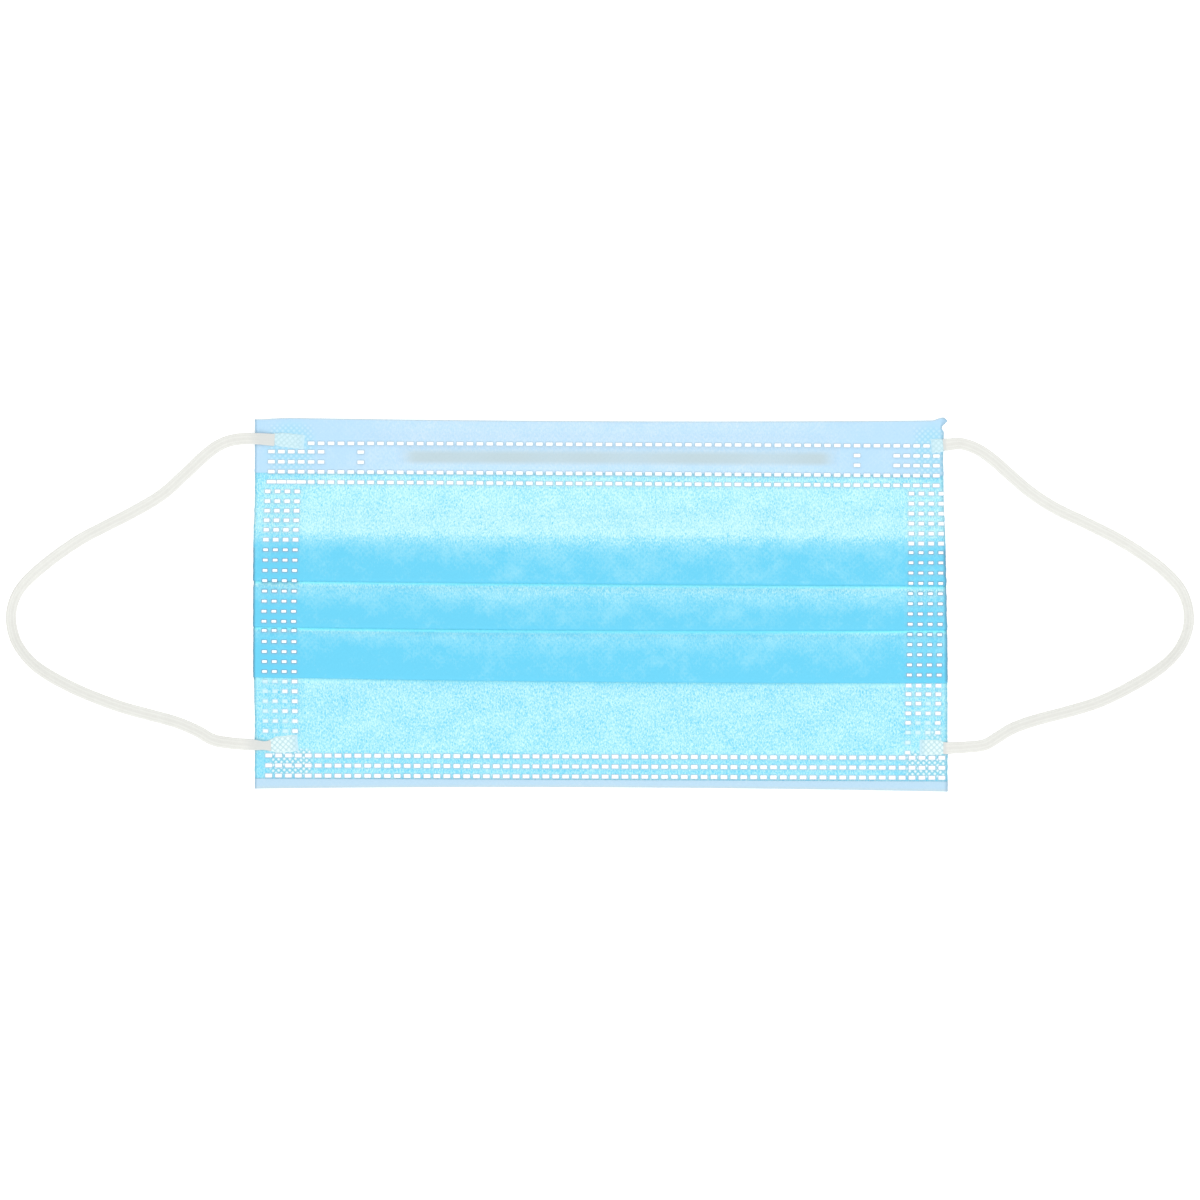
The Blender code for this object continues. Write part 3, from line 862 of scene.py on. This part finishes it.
def blueness(share, x, y, zone, start):
    """How blue the cloth looks: paler where fewer plies lie behind it, deeper down each pleat, and made
    paler by painted light on the first climb and just below the folds near the sides.
    """
    tone = ZONE_TONES[zone] if zone >= 0 else ZONE_TONES[3]
    down = max(0.0, start - y) if zone >= 0 else 0.02
    near, reach = tone["near"], tone["reach"]
    if zone == 1:
        near += RIGHT_NEAR * smooth_step(*TOWARDS_RIGHT, x)
        reach *= 1.0 - RIGHT_NEARER * smooth_step(*TOWARDS_RIGHT, x)
    blue = near + (tone["far"] - near) * (1.0 - math.exp(-down / reach))
    side_tone = SIDE_TONES[0] if x < 0 else SIDE_TONES[1]
    blue += side_tone * smooth_step(*AMONG_SIDE_WELDS, abs(x)) * (1.0 if zone in (0, 4) else 0.3)
    blue += CHIN_TONE * smooth_step(*AMONG_CHIN_WELDS, y)
    if zone == 0:
        fold = fold_places(share)[0]["hidden"]
        blue += CLIMB_PAINTED_LIGHT * smooth_step(*ON_THE_CLIMB, y)
        blue += FOLD_DAWN * smooth_step(fold + FOLD_BLUR[0], fold - FOLD_BLUR[1], y)
    # Painted light against the shade just below the folds, towards the sides
    if zone in (2, 3, 4):
        under = 1.0 - smooth_step(*PAINTED_LIGHT_REACH, down)
        blue += PAINTED_LIGHT_UNDER_FOLDS * smooth_step(*TOWARDS_SIDES, abs(x)) * under
    if zone in (1, 2, 3):
        blue += LEFT_TONE * smooth_step(*TOWARDS_LEFT, x)
    return blue


def make_outer_ply():
    columns, spots = [], []
    for share in column_shares():
        column = []
        places = fold_places(share)
        starts = (hem_edge(share), places[0]["hidden"] - 0.0006, places[0]["front"],
                  places[1]["front"], places[2]["front"])
        line = folded_line(share)
        front = shifted(line, share * MASK_WIDTH / 2, 1, PLY / 2)
        for (y_middle, *rest), (y, z, zone, weight) in zip(line, front):
            x = cloth_x(share, y_middle) + ragged(share, y_middle)
            if weight:
                z += relief(x, y) * weight
            column.append((x, y, z))
            diamonds, blue = knurled(x, y) if zone >= 0 else (0.0, 0.0)
            spots.append({"tone": blueness(share, x, y, zone, starts[zone]),
                          "painted_weld_shade": weld_shade_at(x, y) if zone >= 0 else 0.0,
                          "light": painted_fold_light(zone, starts[zone] - y), "cut": cut_shade(share, y),
                          "knurl": diamonds, "crush": blue})
        columns.append(column)
    return make_ply("outer_ply", columns, 1, spots)


def turned_place(tree, place, degrees):
    return add_node(tree, "ShaderNodeMapping",
                    {"Vector": place, "Rotation": (0.0, 0.0, math.radians(degrees))}).outputs[0]


def make_cloth_finish(name, pale, deep, cloud_depth, streak_depth, extra):
    """Spunbond cloth: cloudy, with fine streaks of fibre and a grid of small bond points."""
    finish = make_finish(name, 0.72, Sheen_Weight=0.12, Sheen_Roughness=0.5)
    tree = finish.node_tree
    place = read_values(tree, "cloth_place", "Vector")
    tone = read_values(tree, "tone")
    painted_weld_shade = read_values(tree, "painted_weld_shade")
    knurl = read_values(tree, "knurl")
    cloud = noise_value(tree, place, 1.0, (0.13, 0.17, 1.0), detail=3.0)
    patch = noise_value(tree, place, 1.0, (0.55, 0.38, 1.0), detail=2.0, distortion=0.8)
    streak = noise_value(tree, place, 1.0, (3.3, 1.8, 1.0), detail=3.0, distortion=0.8)
    cross = noise_value(tree, place, 1.0, (3.3, 1.7, 1.0), turn=1.1, detail=3.0, distortion=1.0)
    fibres = do_math(tree, "ADD", do_math(tree, "MULTIPLY", streak, 0.6),
                     do_math(tree, "MULTIPLY", cross, 0.4))
    bonds = add_node(tree, "ShaderNodeTexVoronoi",
                     {"Vector": turned_place(tree, place, 45), "Scale": 0.86, "Randomness": 0.0},
                     distance="EUCLIDEAN")
    bond = add_node(tree, "ShaderNodeMapRange",
                    {"Value": bonds.outputs["Distance"], "From Min": 0.20, "From Max": 0.36,
                     "To Min": 1.0, "To Max": 0.0}, interpolation_type="SMOOTHSTEP").outputs[0]
    depth = add_node(tree, "ShaderNodeMapRange",
                     {"Value": tone, "From Min": 0.44, "From Max": 0.98, "To Min": streak_depth,
                      "To Max": streak_depth * 0.17}, interpolation_type="SMOOTHSTEP").outputs[0]
    blueness = vary(tree, vary(tree, tone, cloud, cloud_depth), patch, cloud_depth * 0.6)
    blueness = vary(tree, blueness, fibres, depth)
    blueness = do_math(tree, "ADD", blueness, do_math(tree, "MULTIPLY", bond, 0.05), clamp=True)
    colour = mix_colours(tree, blueness, pale, deep)
    for shade, shade_colour in extra:
        colour = mix_colours(tree, read_values(tree, shade), colour, shade_colour)
    # Painted shade round the welds
    weld_shade_mix = do_math(tree, "MULTIPLY", do_math(tree, "MULTIPLY", painted_weld_shade, painted_weld_shade), 0.62)
    colour = mix_colours(tree, weld_shade_mix, colour, WELD_PAINTED_SHADE)
    ridges = []
    for degrees in (45, -45):
        wave = add_node(tree, "ShaderNodeTexWave",
                        {"Vector": turned_place(tree, place, degrees), "Scale": 0.314},
                        wave_type="BANDS", bands_direction="X")
        ridges.append(wave.outputs["Fac"])
    diamond = do_math(tree, "POWER", do_math(tree, "MULTIPLY", ridges[0], ridges[1]), 0.8)
    colour = mix_colours(tree, read_values(tree, "crush"), colour, CRUSHED_BLUE)
    groove = do_math(tree, "MULTIPLY", do_math(tree, "SUBTRACT", 1.0, diamond), knurl)
    colour = mix_colours(tree, do_math(tree, "MULTIPLY", groove, 0.4), colour, KNURL_DEEP)
    mark = do_math(tree, "MULTIPLY", diamond, knurl)
    colour = mix_colours(tree, mark, colour, KNURL_LIGHT)
    cut = do_math(tree, "MULTIPLY", read_values(tree, "cut"), 0.85)
    colour = mix_colours(tree, cut, colour, CUT_EDGE)
    height = do_math(tree, "SUBTRACT", fibres, do_math(tree, "MULTIPLY", bond, 0.5))
    height = do_math(tree, "SUBTRACT", height, do_math(tree, "MULTIPLY", mark, 0.8))
    dress(finish, colour, height, 0.00005)
    return finish


outer_ply = make_outer_ply()
outer_ply.data.materials.append(make_cloth_finish("blue_spunbond", BLUE_PALE, BLUE_DEEP, 0.50, 3.5,
                                                (("light", PAINTED_FOLD_LIGHT),)))
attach(outer_ply, "root")
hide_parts("pleated_panel")


# Inner ply: white spunbond cloth, wider than the other plies. It lines the back, goes round the
# nose and chin edges and is welded down on the front as the hems, with the nose wire under one.

LAY_GAP = 0.00005
WIRE_MIDDLE = (0.0043, MASK_HEIGHT / 2 - 0.0099)
WIRE_HALF = (0.054, 0.0015)
WIRE_TOP = 0.0019
WIRE_CLEARANCE = 0.00005
WIRE_BLUR_X = (-0.003, 0.002)
WIRE_BLUR_Y = (-0.0007, 0.0008)
HUMP_RUN = 0.0016
EDGE_STEPS = 8
EDGE_INSET = 0.001
BOTTOM_HEM_EDGE = -0.04445
FRONT_TONE = 0.82
END_TONE = 0.16
CHIN_HEM_TONE = 1.0
CHIN_HEM_SHADE = 0.25
# Painted shade along the rolled nose and chin edges
EDGE_SHADE = 0.60
HEM_WHITE = linear(222, 230, 233)
HEM_BLUE = linear(171, 206, 230)
# Painted shade colour: the wire's shadow through the hem, the rolled edges and the greyer chin hem
PAINTED_HEM_SHADE = linear(174, 193, 199)


def hump(x, y):
    """How far the nose wire lifts the hem at one point, from 0 to 1."""
    past_x = abs(x - WIRE_MIDDLE[0]) - WIRE_HALF[0] - 0.0003
    past_y = abs(y - WIRE_MIDDLE[1]) - WIRE_HALF[1] - 0.0001
    return (1.0 - smooth_step(0.0, HUMP_RUN, past_x)) * (1.0 - smooth_step(0.0, HUMP_RUN, past_y))


def wire_shade(x, y):
    """How much of the wire's painted shadow shows through the hem at one point, softly, from 0 to 1."""
    past_x = abs(x - WIRE_MIDDLE[0]) - WIRE_HALF[0]
    past_y = abs(y - WIRE_MIDDLE[1]) - WIRE_HALF[1]
    strength = 0.85 + 0.3 * noise.noise(Vector((x * 60, 2.0, 4.0)))
    return strength * (1.0 - smooth_step(*WIRE_BLUR_X, past_x)) * (1.0 - smooth_step(*WIRE_BLUR_Y, past_y))


def hem_middle(x, y):
    """Height of the middle of a hem above the table, without the relief."""
    lift = WIRE_TOP + WIRE_CLEARANCE - WALL_FULL - WIRE_BED - LAY_GAP
    return wall(x, y) + LAY_GAP + PLY / 2 + lift * hump(x, y)


def make_inner_ply():
    columns, spots = [], []
    top_rows = round((MASK_HEIGHT / 2 - HEM_EDGE) / ROW_PITCH)
    for share in column_shares():
        column = []

        def add(y, z, tone, hem_shade=0.0, front=True):
            x = cloth_x(share, y) + ragged(share, y)
            if front and z > PLY:
                z += relief(x, y)
            column.append((x, y, z))
            diamonds, blue = knurled(x, y) if front else (0.0, 0.0)
            spots.append({"tone": tone, "hem_shade": hem_shade, "painted_weld_shade": weld_shade_at(x, y) * (1.0 if front else 0.5),
                          "cut": cut_shade(share, y), "knurl": diamonds, "crush": blue})

        def turn_edge(edge, steps, way):
            """The ply's way round the nose edge, way 1, or round the chin edge, way -1."""
            z_high = hem_middle(x_plain, edge - way * EDGE_INSET)
            half = (z_high - z_low) / 2
            centre = edge - way * half
            for step in steps:
                angle = math.pi * step / EDGE_STEPS
                tone = FRONT_TONE * (1.0 - step / EDGE_STEPS if way > 0 else step / EDGE_STEPS)
                z = (z_low + z_high) / 2 + way * half * math.cos(angle)
                add(centre + way * half * math.sin(angle), z, tone, EDGE_SHADE, front=False)

        x_plain = share * MASK_WIDTH / 2
        z_low = PLY / 2
        nose, chin = nose_edge(share), chin_edge(share)
        start, stop = hem_edge(share), nose - (hem_middle(x_plain, nose - EDGE_INSET) - z_low) / 2
        for step in range(top_rows + 1):
            y = start + (stop - start) * step / top_rows
            tone = FRONT_TONE + END_TONE * smooth_step(0.045, 0.070, abs(x_plain))
            add(y, hem_middle(x_plain, y), tone, wire_shade(x_plain, y))
        turn_edge(nose, range(1, EDGE_STEPS), 1)
        back = shifted(folded_line(share), x_plain, -1, PLY / 2)
        for index, (y, z, zone, weight) in enumerate(back):
            if index % 2 == 0 or not 6 < index < len(back) - 6:
                add(min(y, stop), z, 0.0, front=False)
        turn_edge(chin, range(EDGE_STEPS + 1), -1)
        stop = chin + (hem_middle(x_plain, chin + EDGE_INSET) - z_low) / 2
        for step in range(1, 5):
            y = stop + (BOTTOM_HEM_EDGE - stop) * step / 4
            add(y, hem_middle(x_plain, y), CHIN_HEM_TONE, CHIN_HEM_SHADE)
        columns.append(column)
    return make_ply("inner_ply", columns, -1, spots)


inner_ply = make_inner_ply()
inner_ply.data.materials.append(
    make_cloth_finish("white_spunbond", HEM_WHITE, HEM_BLUE, 0.35, 4.2, (("hem_shade", PAINTED_HEM_SHADE),)))
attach(inner_ply, "root")
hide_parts("top_hem", "bottom_hem")


# Nose wire: a flat steel wire in a grey plastic coating, closed in under the top hem. It is the
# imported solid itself, and only its edges would show if the hem were lifted.

wire_finish = make_finish("coated_wire", 0.45)
wire_tree = wire_finish.node_tree
wire_place = add_node(wire_tree, "ShaderNodeTexCoord").outputs["Object"]
wire_grain = noise_value(wire_tree, wire_place, 900.0, (0.12, 1.0, 1.0), detail=3.0)
dress(wire_finish, mix_colours(wire_tree, wire_grain, linear(176, 180, 188), linear(206, 209, 214)),
      wire_grain, 0.00003)
wire_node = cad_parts["nose_wire"]
wire_node.data.materials.clear()
wire_node.data.materials.append(wire_finish)


# Small welds: where the horn and its pins melted the plies together, each leaves a little white
# dished plate of film with a raised rim. They run in rows along the hems and down the sides.

# Rings of a weld, from the cloth up: share of its size, spread beyond it, height, share of painted shade
# along its rim
WELD_RINGS = ((1.0, 0.00019, -0.00008, 0.9), (1.0, 0.00018, 0.00002, 0.9), (1.0, 0.00002, 0.00005, 0.9),
              (0.95, 0.0, 0.00008, 0.0), (0.70, 0.0, 0.00006, 0.0), (0.35, 0.0, 0.00005, 0.0))
WELD_CORNERS = 16
FILM_BEND = 0.0002
# Painted glow of the welds that lie just below a fold
FILM_PAINTED_GLOW = (0.16, 0.16, 0.16, 1.0)
WELD_CLEARANCE = 0.00003
WELD_CORNER = 0.17
FILM_WHITE = linear(246, 250, 251)
FILM_EDGE_SHADE = linear(84, 142, 174)
EDGE_SHADE_IN_PALE = 0.7
FILM_FAINT = linear(190, 224, 232)
SKIN_CACHE = {}


def front_skin(x):
    """The outer ply's front at one place across the mask, from the nose edge down."""
    key = round(x, 4)
    if key not in SKIN_CACHE:
        share = max(-1.0, min(1.0, key / (MASK_WIDTH / 2)))
        SKIN_CACHE[key] = shifted(folded_line(share), key, 1, 0.0)
    return SKIN_CACHE[key]


def front_height(x, y):
    """Height of the front above the table at one point, with the hems and the relief."""
    share = max(-1.0, min(1.0, x / (MASK_WIDTH / 2)))
    if y > hem_edge(share) or y < BOTTOM_HEM_EDGE:
        return hem_middle(x, y) + PLY / 2 + relief(x, y)
    highest = 0.0
    skin = front_skin(x)
    for (y_from, z_from, zone, weight_from), (y_to, z_to, next_zone, weight_to) in zip(skin, skin[1:]):
        if min(y_from, y_to) <= y <= max(y_from, y_to) and y_from != y_to:
            part = (y - y_from) / (y_to - y_from)
            weight = weight_from + (weight_to - weight_from) * part
            height = z_from + (z_to - z_from) * part
            if weight:
                height += relief(x, y) * weight
            highest = max(highest, height)
    return highest


def under_fold(x, y):
    """How close a weld lies below a fold, 0 to 1: there its film gets a painted glow for the light that
    comes to it through the cloth.
    """
    below = [place["front"] - y for place in fold_places(x / (MASK_WIDTH / 2))]
    return max(1.0 - smooth_step(0.0005, 0.0010, depth) if depth > 0 else 0.0 for depth in below)


def make_welds(name, group):
    points, faces, edge_shades, faints, lights = [], [], [], [], []
    for weld in WELDS:
        if weld["group"] != group:
            continue
        size = 0.72 + 0.28 * weld["strength"]
        half_x, half_y = weld["size"][0] / 2 * size, weld["size"][1] / 2 * size
        base = len(points)
        hem = hem_edge(weld["x"] / (MASK_WIDTH / 2))
        on_hem_edge = abs(weld["y"] - hem) < half_y + 0.0001
        pleated = group == "side" and WELDS_IN_PLEATS[0] < weld["y"] < WELDS_IN_PLEATS[1]
        for scale, spread, height, edge in WELD_RINGS:
            for corner in range(WELD_CORNERS):
                angle = 2 * math.pi * (corner + 0.5) / WELD_CORNERS
                dx = math.copysign(abs(math.cos(angle)) ** WELD_CORNER, math.cos(angle))
                dy = math.copysign(abs(math.sin(angle)) ** WELD_CORNER, math.sin(angle))
                x = weld["x"] + dx * (half_x * scale + spread)
                y = weld["y"] + dy * (half_y * scale + spread)
                lift = height * (0.4 + 0.6 * weld["strength"]) if height > 0 else height
                level = front_height(x, max(y, hem + 0.0001) if on_hem_edge and height > 0 else y)
                if group == "side" and height > 0:
                    middle = front_height(x, weld["y"])
                    level = min(max(level, middle), middle + FILM_BEND)
                points.append((x, y, level + WELD_CLEARANCE + lift))
                edge_shades.append(edge * (1.0 if pleated else EDGE_SHADE_IN_PALE) * min(1.0, weld["strength"] * 1.2))
                faints.append(1.0 - smooth_step(0.2, 0.85, weld["strength"]))
                lights.append(under_fold(weld["x"], weld["y"]) if group == "side" else 0.0)
        rings = len(WELD_RINGS)
        for ring in range(rings - 1):
            for corner in range(WELD_CORNERS):
                here = base + ring * WELD_CORNERS + corner
                there = base + ring * WELD_CORNERS + (corner + 1) % WELD_CORNERS
                faces.append((here, there, there + WELD_CORNERS, here + WELD_CORNERS))
        last = base + (rings - 1) * WELD_CORNERS
        faces.append(tuple(last + corner for corner in range(WELD_CORNERS)))
        faces.append(tuple(base + corner for corner in reversed(range(WELD_CORNERS))))
    mesh = bpy.data.meshes.new(name)
    mesh.from_pydata(points, [], faces)
    add_values(mesh, "edge", edge_shades)
    add_values(mesh, "faint", faints)
    add_values(mesh, "light", lights)
    finish_mesh(mesh, 70)
    return link_piece(name, mesh)


def make_film_finish():
    finish = make_finish("weld_film", 0.38, Emission_Strength=1.0)
    tree = finish.node_tree
    place = add_node(tree, "ShaderNodeTexCoord").outputs["Object"]
    grain = noise_value(tree, place, 2600.0, detail=3.0)
    # Painted shade round the rim of each weld
    edge = vary(tree, read_values(tree, "edge"), grain, 0.3, clamp=True)
    film = mix_colours(tree, read_values(tree, "faint"), FILM_WHITE, FILM_FAINT)
    dress(finish, mix_colours(tree, edge, film, FILM_EDGE_SHADE), grain, 0.00003)
    # Painted glow: the film shines a little by itself where it lies just below a fold.
    light = mix_colours(tree, read_values(tree, "light"), (0.0, 0.0, 0.0, 1.0), FILM_PAINTED_GLOW)
    tree.links.new(light, tree.nodes["Principled BSDF"].inputs["Emission Color"])
    return finish


film_finish = make_film_finish()
for name, group in (("nose_weld_rows", "nose"), ("chin_weld_rows", "chin"), ("side_weld_columns", "side")):
    weld_rows = make_welds(name, group)
    weld_rows.data.materials.append(film_finish)
    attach(weld_rows, "root")


# Loop ends: each end of the elastic is crushed flat on the front by a knurled tool, and comes out
# as a thin milky patch with small diamond pads between crossing grooves.

PATCH_STEP = 0.00012
KNURL_PITCH = 0.00100
PATCH_HEIGHT = 0.00034
PATCH_EDGE = 0.00005
PAD_HEIGHT = 0.00010
PAD_SHARPNESS = 1.5
PATCH_OPENING = 0.3
PATCH_RIM = 0.16
TINTED_FROM = 0.65
PATCH_WHITE = linear(216, 235, 233)
PATCH_TINTED = linear(183, 215, 226)
PATCH_GROOVE = linear(158, 194, 203)


def make_loop_end(row):
    (x_outer, x_inner), (y_outer, y_inner) = row["x"], row["y"]
    length = math.hypot(x_inner - x_outer, y_inner - y_outer)
    along = Vector(((x_inner - x_outer) / length, (y_inner - y_outer) / length, 0.0))
    across = Vector((-along.y, along.x, 0.0))
    columns = round(length / PATCH_STEP)
    rows = round(row["width"] / PATCH_STEP)
    tops, bottoms, grooves, tints = [], [], [], []
    for i in range(columns + 1):
        for j in range(rows + 1):
            u, v = i / columns, 2 * j / rows - 1
            opening = smooth_step(0.0, PATCH_OPENING, u)
            half = (LOOP_WIDTH + (row["width"] - LOOP_WIDTH) * opening) / 2
            half *= 1.0 + 0.05 * noise.noise(Vector((u * 9, v * 2, x_outer * 900)))
            spot = Vector((x_outer, y_outer, 0.0)) + along * length * u + across * half * v
            p = (u * length + v * half) / KNURL_PITCH / math.sqrt(2)
            q = (u * length - v * half) / KNURL_PITCH / math.sqrt(2)
            pad = min(1.0, abs(math.sin(math.pi * p) * math.sin(math.pi * q)) * PAD_SHARPNESS)
            border = min(1.0 - abs(v), (1.0 - u) * 1.6, 0.35 + u * 2)
            rise = smooth_step(0.0, PATCH_RIM, border)
            thick = PATCH_EDGE + (PATCH_HEIGHT * (1.0 - 0.45 * u) - PATCH_EDGE) * rise
            z = front_height(spot.x, spot.y) + thick + (pad - 1.0) * PAD_HEIGHT * rise
            tops.append((spot.x, spot.y, z))
            bottoms.append((spot.x, spot.y, z - thick - 0.00005))
            grooves.append((1.0 - pad) * rise * (0.85 - 0.5 * row["tint"]))
            tints.append(row["tint"] + (1.0 - row["tint"]) * smooth_step(TINTED_FROM, 1.0, u))
    mesh = closed_sheet(row["name"], tops, bottoms, rows + 1, -1)
    add_values(mesh, "groove", grooves * 2)
    add_values(mesh, "tint", tints * 2)
    finish_mesh(mesh, 60)
    return link_piece(row["name"], mesh)


def make_patch_finish():
    finish = make_finish("crushed_elastic", 0.42)
    tree = finish.node_tree
    place = add_node(tree, "ShaderNodeTexCoord").outputs["Object"]
    grain = noise_value(tree, place, 1500.0, detail=3.0)
    groove = vary(tree, read_values(tree, "groove"), grain, 0.5, clamp=True)
    pads = mix_colours(tree, read_values(tree, "tint"), PATCH_WHITE, PATCH_TINTED)
    dress(finish, mix_colours(tree, groove, pads, PATCH_GROOVE), grain, 0.00003)
    return finish


patch_finish = make_patch_finish()
for row in LOOP_WELDS:
    loop_end = make_loop_end(row)
    loop_end.data.materials.append(patch_finish)
    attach(loop_end, "root")
    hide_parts(row["node"])
